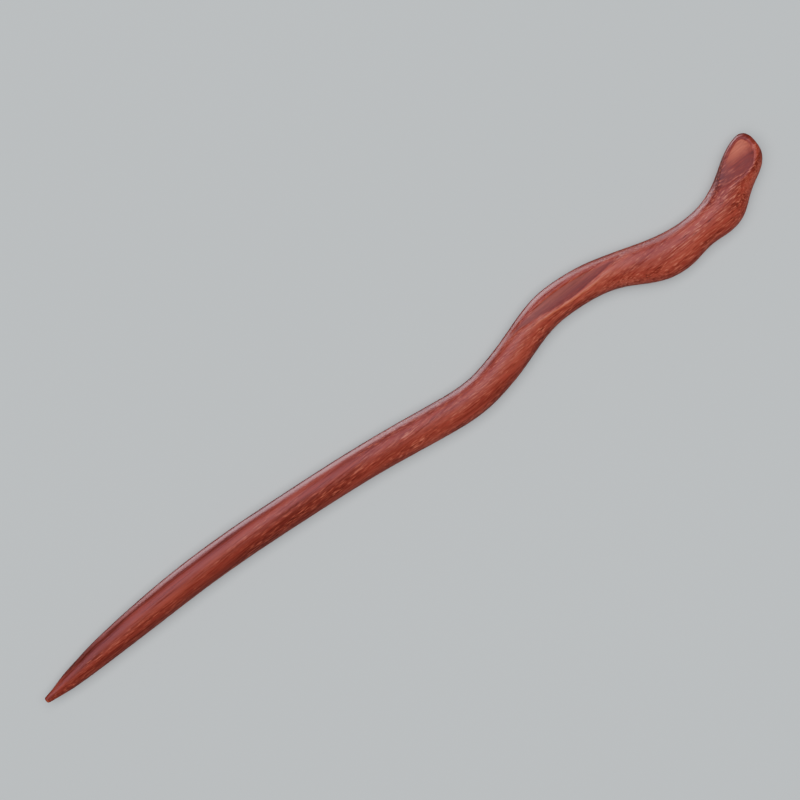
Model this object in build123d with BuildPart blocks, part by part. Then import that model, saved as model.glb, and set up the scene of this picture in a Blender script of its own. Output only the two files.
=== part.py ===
"""A wavy wooden hair stick: one carved piece that tapers from a scooped head to a blunt tip.

The stick lies on its plain back. X runs from the tip to the head, Y across the waves,
and Z up out of the scooped front. The origin is at the middle of its box, at the bottom.
"""
import math
import os
from collections import namedtuple

from build123d import *

# Driving dimensions in millimetres
LENGTH = 180.0
WAVE_SWING = 7.1
SHAFT_WIDTH = 7.0
SHAFT_DEPTH = 6.6
HEAD_WIDTH = 9.3
TIP_ROUND = 0.4
HEAD_ROUND = 1.1
HUMP_SCOOP_DEPTH = 0.9
HUMP_GOUGE_RADIUS = 4.0
HEAD_SCOOP_DEPTH = 1.55
HEAD_GOUGE_RADIUS = 12.0

# A rounded end takes at most this share of the tightest bend of the oval that it rounds,
# and of the way to the next oval
ROUND_LIMIT = 0.7

# Where the head end starts to round off, as a share of the length
HEAD_END = 0.985

# The stick from tip to head, one oval section a row, in shares chosen by hand:
# along of the length, swing of the waves, width and depth of the shaft
Section = namedtuple("Section", "along swing width depth")
SHAFT_SECTIONS = [
    Section(0.000, 0.010, 0.170, 0.180),
    Section(0.008, 0.013, 0.250, 0.260),
    Section(0.017, 0.025, 0.330, 0.335),
    Section(0.028, 0.045, 0.450, 0.450),
    Section(0.045, 0.072, 0.570, 0.575),
    Section(0.078, 0.125, 0.730, 0.740),
    Section(0.111, 0.160, 0.825, 0.840),
    Section(0.155, 0.188, 0.910, 0.930),
    Section(0.210, 0.197, 0.955, 0.985),
    Section(0.280, 0.125, 0.980, 1.000),
    Section(0.345, -0.008, 0.985, 1.000),
    Section(0.400, -0.140, 0.995, 1.000),
    Section(0.450, -0.285, 1.005, 1.000),
    Section(0.495, -0.453, 1.030, 1.000),
    Section(0.535, -0.615, 1.040, 1.000),
    Section(0.565, -0.712, 1.025, 1.000),
    Section(0.590, -0.720, 1.010, 1.000),
    Section(0.615, -0.625, 1.025, 1.000),
    Section(0.645, -0.440, 1.045, 1.000),
    Section(0.675, -0.205, 1.045, 1.000),
    Section(0.705, -0.055, 1.040, 1.000),
    Section(0.735, -0.070, 1.040, 1.000),
    Section(0.765, -0.185, 1.045, 1.000),
]

# The head, with its width in shares of the head's own
HEAD_SECTIONS = [
    Section(0.789, -0.380, 0.830, 1.000),
    Section(0.811, -0.632, 0.940, 1.000),
    Section(0.833, -0.852, 0.990, 1.000),
    Section(0.853, -0.965, 0.955, 1.000),
    Section(0.872, -0.992, 0.870, 1.000),
    Section(0.892, -0.963, 0.800, 1.000),
    Section(0.911, -0.945, 0.865, 1.000),
    Section(0.928, -0.865, 0.970, 1.000),
    Section(0.944, -0.680, 1.025, 1.000),
    Section(0.961, -0.388, 0.992, 1.000),
    Section(0.978, -0.165, 0.945, 1.000),
    Section(0.989, -0.058, 0.860, 0.960),
    Section(1.000, 0.012, 0.400, 0.640),
]

# Each scoop is one pass of a round gouge: tilt is the side that it cuts from, in degrees
# up from +Y, and bite its depth in shares of the scoop's own, below zero where it is clear
Pass = namedtuple("Pass", "along tilt bite")
HUMP_SCOOP = [
    Pass(0.630, 24, -0.60),
    Pass(0.649, 33, -0.02),
    Pass(0.678, 64, 0.35),
    Pass(0.707, 79, 0.85),
    Pass(0.736, 82, 1.00),
    Pass(0.760, 77, 0.74),
    Pass(0.780, 66, 0.34),
    Pass(0.806, 42, 0.00),
    Pass(0.822, 28, -0.60),
]
HEAD_SCOOP = [
    Pass(0.920, 50, -0.50),
    Pass(0.933, 54, -0.12),
    Pass(0.944, 59, 0.16),
    Pass(0.956, 66, 0.50),
    Pass(0.967, 72, 0.81),
    Pass(0.978, 76, 0.97),
    Pass(0.986, 76, 0.80),
    Pass(0.994, 74, 0.37),
    Pass(1.003, 71, -0.25),
]

Oval = namedtuple("Oval", "along across width depth")


def stick_ovals():
    """All sections in millimetres, from the tip to the head."""
    shaft = [(row, SHAFT_WIDTH) for row in SHAFT_SECTIONS]
    head = [(row, HEAD_WIDTH) for row in HEAD_SECTIONS]
    return [
        Oval(row.along * LENGTH, row.swing * WAVE_SWING, row.width * full_width, row.depth * SHAFT_DEPTH)
        for row, full_width in shaft + head
    ]


def oval_at(along):
    """The section at any place along the stick, between its two neighbours."""
    rows = stick_ovals()
    after = next((row for row in rows[1:] if row.along >= along), rows[-1])
    before = rows[rows.index(after) - 1]
    share = (along - before.along) / (after.along - before.along)
    return Oval(*(a + share * (b - a) for a, b in zip(before, after)))


def end_round(oval, neighbour, wanted):
    """The radius that an end is rounded to, no larger than its oval and its span allow."""
    narrow, wide = sorted((oval.width, oval.depth))
    bend = narrow**2 / wide / 2
    span = abs(neighbour.along - oval.along)
    return min(wanted, ROUND_LIMIT * bend, ROUND_LIMIT * span)


def gouge_place(along, tilt, bite, radius):
    """Where the middle of a round gouge is, to cut to a depth from the side at the tilt."""
    oval = oval_at(min(along, HEAD_END * LENGTH))
    side = (math.cos(math.radians(tilt)), math.sin(math.radians(tilt)))
    surface = 1 / math.hypot(side[0] / (oval.width / 2), side[1] / (oval.depth / 2))
    reach = surface + radius - bite
    return oval.across + reach * side[0], SHAFT_DEPTH / 2 + reach * side[1]


with BuildPart() as hair_stick:
    # The stick, lofted through its oval sections
    for oval in stick_ovals():
        with BuildSketch(Plane.YZ.offset(oval.along)):
            with BuildLine():
                middle = (oval.across, SHAFT_DEPTH / 2)
                EllipticalCenterArc(middle, oval.width / 2, oval.depth / 2, 0, arc_size=180)
                EllipticalCenterArc(middle, oval.width / 2, oval.depth / 2, 180, arc_size=180)
            make_face()
    loft()

    # The blunt tip and the rounded head end
    tip, after_tip, *between, before_head, head = stick_ovals()
    fillet(hair_stick.faces().sort_by(Axis.X)[0].edges(), end_round(tip, after_tip, TIP_ROUND))
    fillet(hair_stick.faces().sort_by(Axis.X)[-1].edges(), end_round(head, before_head, HEAD_ROUND))

    # The long scoop over the hump and the short one in the head
    scoops = (
        (HUMP_SCOOP, HUMP_SCOOP_DEPTH, HUMP_GOUGE_RADIUS),
        (HEAD_SCOOP, HEAD_SCOOP_DEPTH, HEAD_GOUGE_RADIUS),
    )
    for passes, deepest, radius in scoops:
        for row in passes:
            along = row.along * LENGTH
            with BuildSketch(Plane.YZ.offset(along)):
                with Locations(gouge_place(along, row.tilt, row.bite * deepest, radius)):
                    Circle(radius)
        loft(mode=Mode.SUBTRACT)

# The origin goes to the middle of the box, at the bottom
box = hair_stick.part.bounding_box()
hair_stick.part.move(Location((-box.center().X, -box.center().Y, -box.min.Z)))

hair_stick.part.label = "hair_stick"
os.makedirs("parts", exist_ok=True)
export_step(hair_stick.part, "parts/hair_stick.step")
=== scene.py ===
import math
from collections import namedtuple

import bpy
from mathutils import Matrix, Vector


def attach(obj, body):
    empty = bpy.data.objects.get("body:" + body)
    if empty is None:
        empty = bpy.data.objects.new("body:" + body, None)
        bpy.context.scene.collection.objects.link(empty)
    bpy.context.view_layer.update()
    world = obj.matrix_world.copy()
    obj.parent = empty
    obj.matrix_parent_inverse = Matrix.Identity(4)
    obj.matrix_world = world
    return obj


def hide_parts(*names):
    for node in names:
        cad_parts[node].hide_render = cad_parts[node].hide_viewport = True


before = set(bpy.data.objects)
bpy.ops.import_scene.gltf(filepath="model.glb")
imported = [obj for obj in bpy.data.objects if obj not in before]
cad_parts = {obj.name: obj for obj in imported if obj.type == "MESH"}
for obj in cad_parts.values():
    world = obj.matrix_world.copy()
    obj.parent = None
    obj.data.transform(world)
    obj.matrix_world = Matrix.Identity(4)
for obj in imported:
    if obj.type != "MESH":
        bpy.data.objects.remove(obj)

bl_info = {
    "name": "Wavy hair stick",
    "version": (1, 0, 0),
    "blender": (4, 5, 0),
    "location": "3D View > Sidebar > Hair stick",
    "description": "Carves a waxed rosewood hair stick over its CAD solid and lights it on a pale table",
    "category": "Object",
}

MM = 0.001
SOLID = "hair_stick"
STICK = "waxed_hair_stick"
# A mask of the form's curvature, which places the painted shade in the hollows and the painted highlight on
# the ridge
CURVATURE = "wear"

# The picture is 800 pixels square and 159.55 mm wide where the stick lies, and the stick's
# own X axis climbs 38.2 degrees across it
PICTURE_WIDTH = 159.55 * MM
PICTURE_TURN = math.radians(38.2)
PICTURE_MIDDLE = Vector((2.6, 6.87, 3.3)) * MM
LENS = 120.0
FILM = 36.0

# Rings of the rough stick from tip to head, in mm: where along it, how far across the waves,
# how wide and how deep. They are listed here and pulled on to the solid afterwards.
Ring = namedtuple("Ring", "along across width depth")
RINGS = [
    Ring(-89.9, 3.35, 1.0, 1.0),
    Ring(-88.6, 3.37, 1.7, 1.7),
    Ring(-86.9, 3.46, 2.3, 2.2),
    Ring(-85.0, 3.60, 3.1, 3.0),
    Ring(-81.9, 3.79, 4.0, 3.8),
    Ring(-76.0, 4.17, 5.1, 4.9),
    Ring(-70.0, 4.42, 5.8, 5.5),
    Ring(-62.1, 4.61, 6.4, 6.1),
    Ring(-52.2, 4.68, 6.7, 6.5),
    Ring(-45.9, 4.50, 6.8, 6.6),
    Ring(-39.6, 4.17, 6.9, 6.6),
    Ring(-33.7, 3.75, 6.9, 6.6),
    Ring(-27.9, 3.22, 6.9, 6.6),
    Ring(-18.0, 2.29, 7.0, 6.6),
    Ring(-9.0, 1.26, 7.0, 6.6),
    Ring(-0.9, 0.06, 7.2, 6.6),
    Ring(6.3, -1.09, 7.3, 6.6),
    Ring(11.7, -1.78, 7.2, 6.6),
    Ring(16.2, -1.83, 7.1, 6.6),
    Ring(20.7, -1.16, 7.2, 6.6),
    Ring(26.1, 0.16, 7.3, 6.6),
    Ring(31.5, 1.82, 7.3, 6.6),
    Ring(36.9, 2.89, 7.3, 6.6),
    Ring(42.3, 2.78, 7.3, 6.6),
    Ring(47.7, 1.97, 7.3, 6.6),
    Ring(52.0, 0.58, 7.7, 6.6),
    Ring(56.0, -1.21, 8.7, 6.6),
    Ring(59.9, -2.77, 9.2, 6.6),
    Ring(63.5, -3.57, 8.9, 6.6),
    Ring(67.0, -3.76, 8.1, 6.6),
    Ring(70.6, -3.56, 7.4, 6.6),
    Ring(74.0, -3.43, 8.0, 6.6),
    Ring(77.0, -2.86, 9.0, 6.6),
    Ring(79.9, -1.55, 9.5, 6.6),
    Ring(83.0, 0.53, 9.2, 6.6),
    Ring(86.0, 2.11, 8.8, 6.6),
    Ring(88.0, 2.87, 8.0, 6.3),
    Ring(89.9, 3.37, 3.6, 4.0),
]
MID_DEPTH = 3.3

MERGE_DISTANCE = 0.0005 * MM
TABLE_THICKNESS = 18 * MM
TABLE_ROUND = 3 * MM


def sRGB(text):
    """An sRGB hex value as the linear colour that the shaders take."""
    shares = [int(text[i:i + 2], 16) / 255 for i in (0, 2, 4)]
    return [s / 12.92 if s <= 0.04045 else ((s + 0.055) / 1.055) ** 2.4 for s in shares] + [1.0]


def colour(name, description, text):
    """A colour for the panel, with its default given as sRGB hex."""
    return bpy.props.FloatVectorProperty(
        name=name, description=description, default=sRGB(text), min=0.0, max=1.0, size=4, subtype="COLOR",
    )


def add_node(tree, kind, inputs=(), stops=(), **settings):
    """A node with its settings, its input values or links, and its ramp's stops."""
    node = tree.nodes.new(kind)
    for name, value in settings.items():
        setattr(node, name, value)
    for socket, value in dict(inputs).items():
        if isinstance(value, bpy.types.NodeSocket):
            tree.links.new(value, node.inputs[socket])
        else:
            node.inputs[socket].default_value = value
    for number, (place, shade) in enumerate(stops):
        ramp = node.color_ramp.elements
        stop = ramp[number] if number < len(ramp) else ramp.new(place)
        stop.position = place
        stop.color = shade
    return node


def empty_material(name):
    """A material with all its nodes still to be added."""
    material = bpy.data.materials.new(name)
    material.use_nodes = True
    material.node_tree.nodes.clear()
    return material


def deselect_everything():
    """An operator acts on all that is selected, so each piece starts from nothing selected."""
    if bpy.context.object and bpy.context.object.mode != "OBJECT":
        bpy.ops.object.mode_set(mode="OBJECT")
    bpy.ops.object.select_all(action="DESELECT")


def make_active(piece):
    """Selects one piece alone and makes it the active one."""
    deselect_everything()
    piece.select_set(True)
    bpy.context.view_layer.objects.active = piece


def apply_modifier(piece, kind, **settings):
    """Adds one modifier to the piece, sets it and applies it."""
    make_active(piece)
    bpy.ops.object.modifier_add(type=kind)
    modifier = piece.modifiers[-1]
    for name, value in settings.items():
        setattr(modifier, name, value)
    bpy.ops.object.modifier_apply(modifier=modifier.name)


def merged_copy(node, name):
    """A copy of a CAD node with its loose triangles joined. The node itself is left alone."""
    make_active(node)
    bpy.ops.object.duplicate()
    copy = bpy.context.object
    copy.name = name
    copy.parent = None
    bpy.ops.object.mode_set(mode="EDIT")
    bpy.ops.mesh.select_all(action="SELECT")
    bpy.ops.mesh.remove_doubles(threshold=MERGE_DISTANCE)
    bpy.ops.object.mode_set(mode="OBJECT")
    return copy


def rough_stick(sides):
    """The stick's rough shape: a round face at the tip, drawn out ring by ring to the head."""
    deselect_everything()
    tip = RINGS[0]
    bpy.ops.mesh.primitive_circle_add(
        vertices=sides, radius=tip.width / 2 * MM, fill_type="NGON",
        location=Vector((tip.along, tip.across, MID_DEPTH)) * MM,
        rotation=(0, math.pi / 2, 0),
    )
    stick = bpy.context.object
    bpy.ops.object.transform_apply(location=True, rotation=True, scale=True)
    bpy.ops.object.mode_set(mode="EDIT")
    for before, ring in zip(RINGS, RINGS[1:]):
        step = Vector((ring.along - before.along, ring.across - before.across, 0)) * MM
        bpy.ops.mesh.extrude_region_move(TRANSFORM_OT_translate={"value": step})
        bpy.ops.transform.resize(
            value=(1, ring.width / before.width, ring.depth / before.depth),
            center_override=Vector((ring.along, ring.across, MID_DEPTH)) * MM,
        )
    bpy.ops.mesh.select_all(action="SELECT")
    bpy.ops.mesh.normals_make_consistent(inside=False)
    bpy.ops.object.mode_set(mode="OBJECT")
    return stick


def paint_curvature(piece):
    """Paints a mask by the piece's form, darkest in the hollows and lightest on the ridges. It places the
    painted shade and the painted highlight.
    """
    make_active(piece)
    bpy.ops.geometry.color_attribute_add(
        name=CURVATURE, domain="POINT", data_type="FLOAT_COLOR", color=(1, 1, 1, 1),
    )
    bpy.ops.paint.vertex_color_dirt(
        blur_iterations=4, clean_angle=math.radians(100), dirt_angle=math.radians(80), normalize=False,
    )


def waxed_rosewood(look):
    """Rosewood, sanded fine and waxed: a deep red heartwood with short open pores.

    The eye gets long soft bands of brown and orange red, fine fibres along the stick, light
    and dark flecks where the pores are cut, and a satin gloss that greys the lit side. Painted
    shade darkens the hollows and the start of the head's scoop, painted sheen and light lie
    towards +Y in the hollows, and a painted highlight lies along the hump's ridge.
    """
    material = empty_material("waxed_rosewood")
    tree = material.node_tree
    place = add_node(tree, "ShaderNodeTexCoord").outputs["Object"]
    axes = add_node(tree, "ShaderNodeSeparateXYZ", {"Vector": place}).outputs
    wear = add_node(tree, "ShaderNodeAttribute", attribute_name=CURVATURE).outputs["Fac"]

    def grain(length, breadth, start, **noise):
        """Noise drawn out along the stick, with its features' length and breadth in mm."""
        scale = (1 / (length * MM), 1 / (breadth * MM), 1 / (breadth * MM))
        drawn = add_node(tree, "ShaderNodeMapping", {"Vector": place, "Scale": scale, "Location": start})
        values = {"Vector": drawn.outputs["Vector"], "Scale": 1.0, **noise}
        return add_node(tree, "ShaderNodeTexNoise", values).outputs["Fac"]

    def mapped(value, start, end, low=0.0, high=1.0):
        """Takes the value's way from start to end to the way from low to high, held at its ends."""
        ends = {"Value": value, "From Min": start, "From Max": end, "To Min": low, "To Max": high}
        return add_node(tree, "ShaderNodeMapRange", ends).outputs["Result"]

    def worked_out(operation, *values):
        """One step of arithmetic on numbers or on other nodes' values."""
        return add_node(
            tree, "ShaderNodeMath", dict(enumerate(values)), operation=operation,
        ).outputs["Value"]

    def all_of(*shares):
        """Where all the shares hold: their product."""
        product = shares[0]
        for share in shares[1:]:
            product = worked_out("MULTIPLY", product, share)
        return product

    def between(axis, start, end):
        """A share that grows along an axis of the stick, from one place to another in mm."""
        return mapped(axes[axis], start * MM, end * MM)

    def laid_over(share, under, over):
        """One colour over another by a share."""
        return add_node(
            tree, "ShaderNodeMix", {0: share, 6: under, 7: over}, data_type="RGBA",
        ).outputs[2]

    # Growth bands are 2 to 3 mm apart and run on for several centimetres
    bands = grain(60, 2.4, (0.9, 3.8, 7.3), Detail=2.0, Distortion=0.4)
    wood = add_node(
        tree, "ShaderNodeValToRGB", {"Fac": bands},
        stops=((0.30, look.deep), (0.52, look.heart), (0.72, look.light)),
    ).outputs["Color"]

    # Painted shade and light in the hollows: darker on their -Y side, and towards +Y a painted sheen on the
    # hump's hollow and painted light on the head's hollow
    hollow = mapped(wear, 0.068, 0.050)
    hollow_light_side = laid_over(between("X", 44, 74), look.hump_hollow_sheen, look.head_hollow_light)
    hollow_shade_and_light = laid_over(between("Y", 2.4, 4.4), look.hollow, hollow_light_side)
    wood = laid_over(hollow, wood, hollow_shade_and_light)

    # A painted highlight along the long ridge beside the hump's hollow
    ridge_highlight = all_of(mapped(wear, 0.10, 0.16), between("Y", 3.8, 3.0), between("X", 66, 54))
    wood = laid_over(ridge_highlight, wood, look.ridge_highlight)

    # Painted shade where the head's scoop starts, on its +Y side
    notch_shade = all_of(
        between("X", 75.5, 78.5), between("X", 84, 80.5), between("Y", 0.2, 1.6), between("Z", 3.3, 4.5),
    )
    wood = laid_over(notch_shade, wood, look.notch_shade)

    # Fibres are about 0.1 mm, too fine for the picture, so they are drawn at 0.35 mm. The
    # wood as a whole is paler towards the head.
    fibres = grain(10, 0.35, (3, 1, 2), Detail=2.0)
    fibre_tone = mapped(fibres, 0.3, 0.7, 0.80, 1.20)
    head_share = between("X", -30, 86)
    tone = all_of(fibre_tone, mapped(head_share, 0.0, 1.0, 1.0, 1.33))
    wood = add_node(
        tree, "ShaderNodeMix", {0: 1.0, 6: wood, 7: tone}, data_type="RGBA", blend_type="MULTIPLY",
    ).outputs[2]

    # Pores are cut open as dashes 1 to 2 mm long and 0.1 mm wide, drawn at 0.17 mm. They lie
    # thick in some layers and thin in others, thicker towards the head, and few in the hollows
    # and on the far +Y side.
    layers = worked_out("MULTIPLY_ADD", head_share, 0.20, grain(24, 2.2, (7, 2, 5), Detail=1.0))
    open_pores = all_of(
        mapped(layers, 0.37, 0.70), mapped(hollow, 1.25, 0.0), between("Y", 5.8, 3.8),
    )
    dark_pores = all_of(mapped(grain(2.0, 0.16, (1, 8, 3), Detail=1.0), 0.54, 0.80), open_pores)
    light_pores = all_of(mapped(grain(1.8, 0.17, (5, 3, 9), Detail=1.0), 0.56, 0.67), open_pores)
    wood = laid_over(dark_pores, wood, look.pore)
    wood = laid_over(light_pores, wood, look.fleck)

    # The fibres stand up and the dark pores lie deeper. The hollows are sanded smoother than
    # the rest, and hold less wax.
    relief = worked_out("SUBTRACT", fibres, dark_pores)
    bump = add_node(
        tree, "ShaderNodeBump",
        {"Height": relief, "Strength": mapped(hollow, 0.0, 1.0, 0.4, 0.12), "Distance": 0.04 * MM},
    ).outputs["Normal"]
    fibre_gloss = mapped(fibres, 0.3, 0.7, look.roughness - 0.05, look.roughness + 0.07)
    gloss = worked_out("MULTIPLY_ADD", hollow, 0.24, fibre_gloss)
    shader = add_node(
        tree, "ShaderNodeBsdfPrincipled",
        {"Base Color": wood, "Roughness": gloss, "IOR": 1.5, "Specular IOR Level": look.wax, "Normal": bump},
    ).outputs["BSDF"]
    add_node(tree, "ShaderNodeOutputMaterial", {"Surface": shader})
    return material


def painted_board(paint):
    """Matt painted board: an even, pale blue grey with no gloss to draw the eye."""
    material = empty_material("painted_board")
    tree = material.node_tree
    place = add_node(tree, "ShaderNodeTexCoord").outputs["Object"]
    drift = add_node(
        tree, "ShaderNodeTexNoise", {"Vector": place, "Scale": 6.0, "Detail": 1.0},
    ).outputs["Fac"]
    tone = add_node(
        tree, "ShaderNodeMapRange", {"Value": drift, "To Min": 0.97, "To Max": 1.03},
    ).outputs["Result"]
    coat = add_node(
        tree, "ShaderNodeMix", {0: 1.0, 6: paint, 7: tone}, data_type="RGBA", blend_type="MULTIPLY",
    ).outputs[2]
    shader = add_node(
        tree, "ShaderNodeBsdfPrincipled", {"Base Color": coat, "Roughness": 0.85, "Specular IOR Level": 0.2},
    ).outputs["BSDF"]
    add_node(tree, "ShaderNodeOutputMaterial", {"Surface": shader})
    return material


def soft_room(tint, strength):
    """An even, dim room."""
    world = bpy.data.worlds.new("soft_room")
    world.use_nodes = True
    tree = world.node_tree
    tree.nodes.clear()
    back = add_node(tree, "ShaderNodeBackground", {"Color": tint, "Strength": strength})
    add_node(tree, "ShaderNodeOutputWorld", {"Surface": back.outputs["Background"]})
    return world


def softbox(name, angle, distance, size, power, swing=0):
    """A rectangular lamp that faces the stick, at an angle from overhead towards +Y.

    Its swing is how far it is turned on from there towards +X, also in degrees. Its distance
    and size are in metres.
    """
    turn = math.radians(angle)
    aside = math.radians(swing)
    across = Vector((math.sin(aside), math.cos(aside), 0))
    place = (across * math.sin(turn) + Vector((0, 0, math.cos(turn)))) * distance
    facing = (-place).to_track_quat("-Z", "Y").to_euler()
    bpy.ops.object.light_add(type="AREA", location=place, rotation=facing)
    lamp = bpy.context.object
    lamp.name = name
    lamp.visible_camera = False
    lamp.data.shape = "RECTANGLE"
    lamp.data.size, lamp.data.size_y = size
    lamp.data.energy = power
    return lamp


class HairStickLook(bpy.types.PropertyGroup):
    deep: colour("Deep bands", "Darkest growth bands", "6C241C")
    heart: colour("Heartwood", "Main colour of the wood", "8E382D")
    light: colour("Light bands", "Lightest growth bands", "A2483A")
    pore: colour("Dark pores", "Colour inside cut pores", "4A150F")
    fleck: colour("Light flecks", "Colour of light pores", "D4705A")
    # Painted shade and light in the hollows: the next colour is painted shade on their -Y side, the two
    # after it a painted sheen on the hump's hollow and painted light on the head's hollow towards +Y
    hollow: colour("Hollows", "Colour of the scooped hollows", "6A2823")
    hump_hollow_sheen: colour("Hump's side", "Colour of the hump's hollow towards +Y", "8C4B45")
    head_hollow_light: colour("Head's side", "Colour of the head's hollow towards +Y", "AC5340")
    # The next colour is painted shade where the head's scoop starts
    notch_shade: colour("Head's notch", "Colour where the head's scoop starts", "5C2624")
    # The next colour is a painted highlight along the ridge beside the hump's hollow
    ridge_highlight: colour("Ridge", "Colour of the rubbed ridge beside the hump's hollow", "B8583F")
    roughness: bpy.props.FloatProperty(
        name="Roughness", description="How much the waxed wood spreads its gloss",
        default=0.29, min=0.0, max=1.0, subtype="FACTOR",
    )
    wax: bpy.props.FloatProperty(
        name="Wax", description="How strongly the thin wax film shines",
        default=0.45, min=0.0, max=1.0, subtype="FACTOR",
    )
    sides: bpy.props.IntProperty(
        name="Sides", description="How many sides a ring of the rough stick has", default=16, min=8, max=32,
    )
    edge_wear: bpy.props.IntProperty(
        name="Edge wear", description="How many times the carved edges are rubbed down",
        default=3, min=0, max=20,
    )


class TableLook(bpy.types.PropertyGroup):
    paint: colour("Table", "Colour of the table", "ECF6FA")
    size: bpy.props.FloatProperty(
        name="Table size", description="Length of the table's side", default=4.0, min=0.3, unit="LENGTH",
    )
    sheen_tint: colour("Sheen tint", "Colour of the sheen", "F0DCFF")
    glow_tint: colour("Glow tint", "Colour of the glows", "FFD9E8")
    room_tint: colour("Room tint", "Colour of the even light from all round", "F4F5F5")
    key_power: bpy.props.FloatProperty(
        name="Key lamp", description="Power of the wide softbox over the stick",
        default=16.3, min=0.0, unit="POWER",
    )
    sheen_power: bpy.props.FloatProperty(
        name="Front sheen", description="Power of the sheen along the stick's front",
        default=7.6, min=0.0, unit="POWER",
    )
    glow_power: bpy.props.FloatProperty(
        name="Edge glow", description="Power of the glow on the stick's upper edge",
        default=9.6, min=0.0, unit="POWER",
    )
    neck_power: bpy.props.FloatProperty(
        name="Neck glow", description="Power of the glow where the bulge falls to the neck",
        default=4.5, min=0.0, unit="POWER",
    )
    room_light: bpy.props.FloatProperty(
        name="Room light", description="Even light from all round", default=0.14, min=0.0,
    )


class CarveHairStick(bpy.types.Operator):
    """Carve the hair stick out of rough rings, fit it to its solid and wax it"""
    bl_idname = "object.carve_hair_stick"
    bl_label = "Carve hair stick"

    def execute(self, context):
        look = context.scene.hair_stick_look
        solid = merged_copy(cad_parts[SOLID], "solid_to_fit")
        stick = rough_stick(look.sides)
        stick.name = STICK
        apply_modifier(stick, "SUBSURF", levels=3, render_levels=3)
        apply_modifier(stick, "SHRINKWRAP", target=solid, wrap_method="NEAREST_SURFACEPOINT")
        apply_modifier(stick, "SMOOTH", factor=0.5, iterations=look.edge_wear)
        bpy.data.objects.remove(solid)
        make_active(stick)
        bpy.ops.object.shade_smooth()
        paint_curvature(stick)
        stick.data.materials.append(waxed_rosewood(look))
        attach(stick, "root")
        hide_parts(SOLID)
        return {"FINISHED"}


class SetTable(bpy.types.Operator):
    """Set the table, the soft lamps and the camera"""
    bl_idname = "object.set_table"
    bl_label = "Set table, lamps and camera"

    def execute(self, context):
        look = context.scene.table_look
        deselect_everything()
        bpy.ops.mesh.primitive_plane_add(size=look.size, location=(0, 0, 0))
        table = context.object
        table.name = "table"
        bpy.ops.object.mode_set(mode="EDIT")
        bpy.ops.mesh.extrude_region_move(TRANSFORM_OT_translate={"value": (0, 0, -TABLE_THICKNESS)})
        bpy.ops.mesh.select_all(action="SELECT")
        bpy.ops.mesh.normals_make_consistent(inside=False)
        bpy.ops.mesh.bevel(offset=TABLE_ROUND, segments=3)
        bpy.ops.object.mode_set(mode="OBJECT")
        table.data.materials.append(painted_board(look.paint))
        table.visible_glossy = False

        # The key lamp gives the form, the others the gloss: a wide faint sheen over the front,
        # a bright glow along the upper edge and a soft one where the bulge falls to the neck.
        # The edge glow is short, so it fades where the edge turns away, and it comes from
        # below the table, so the glows light the stick alone.
        key = softbox("key_softbox", angle=4, distance=1.2, size=(1.6, 1.2), power=look.key_power)
        key.visible_glossy = False
        sheen = softbox("front_sheen", angle=35, distance=1.0, size=(1.8, 0.8), power=look.sheen_power)
        glow = softbox("edge_glow", angle=110, distance=1.3, size=(0.56, 0.89), power=look.glow_power)
        neck_glow = softbox(
            "neck_glow", angle=94, swing=21, distance=1.3, size=(0.36, 0.9), power=look.neck_power,
        )
        lit = bpy.data.collections.new("lit_by_the_glow")
        lit.objects.link(bpy.data.objects[STICK])
        for lamp, tint in ((sheen, look.sheen_tint), (glow, look.glow_tint), (neck_glow, look.glow_tint)):
            lamp.visible_diffuse = False
            lamp.data.color = tint[:3]
            lamp.light_linking.receiver_collection = lit
            lamp.light_linking.blocker_collection = lit

        context.scene.world = soft_room(look.room_tint, look.room_light)

        distance = PICTURE_WIDTH * LENS / FILM
        bpy.ops.object.camera_add(
            location=PICTURE_MIDDLE + Vector((0, 0, distance)), rotation=(0, 0, -PICTURE_TURN),
        )
        camera = context.object
        camera.data.lens = LENS
        camera.data.sensor_width = FILM
        context.scene.camera = camera
        return {"FINISHED"}


class HairStickPanel(bpy.types.Panel):
    """Sizes, colours and steps of the hair stick"""
    bl_idname = "VIEW3D_PT_hair_stick"
    bl_label = "Hair stick"
    bl_space_type = "VIEW_3D"
    bl_region_type = "UI"
    bl_category = "Hair stick"

    def draw(self, context):
        for look, step in (
            (context.scene.hair_stick_look, CarveHairStick),
            (context.scene.table_look, SetTable),
        ):
            box = self.layout.box()
            for name in look.__annotations__:
                box.prop(look, name)
            box.operator(step.bl_idname)


CLASSES = (HairStickLook, TableLook, CarveHairStick, SetTable, HairStickPanel)


def register():
    for cls in CLASSES:
        bpy.utils.register_class(cls)
    bpy.types.Scene.hair_stick_look = bpy.props.PointerProperty(type=HairStickLook)
    bpy.types.Scene.table_look = bpy.props.PointerProperty(type=TableLook)


def unregister():
    del bpy.types.Scene.table_look
    del bpy.types.Scene.hair_stick_look
    for cls in reversed(CLASSES):
        bpy.utils.unregister_class(cls)


def main():
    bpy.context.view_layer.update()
    register()
    bpy.ops.object.carve_hair_stick()
    bpy.ops.object.set_table()


if __name__ == "__main__":
    main()
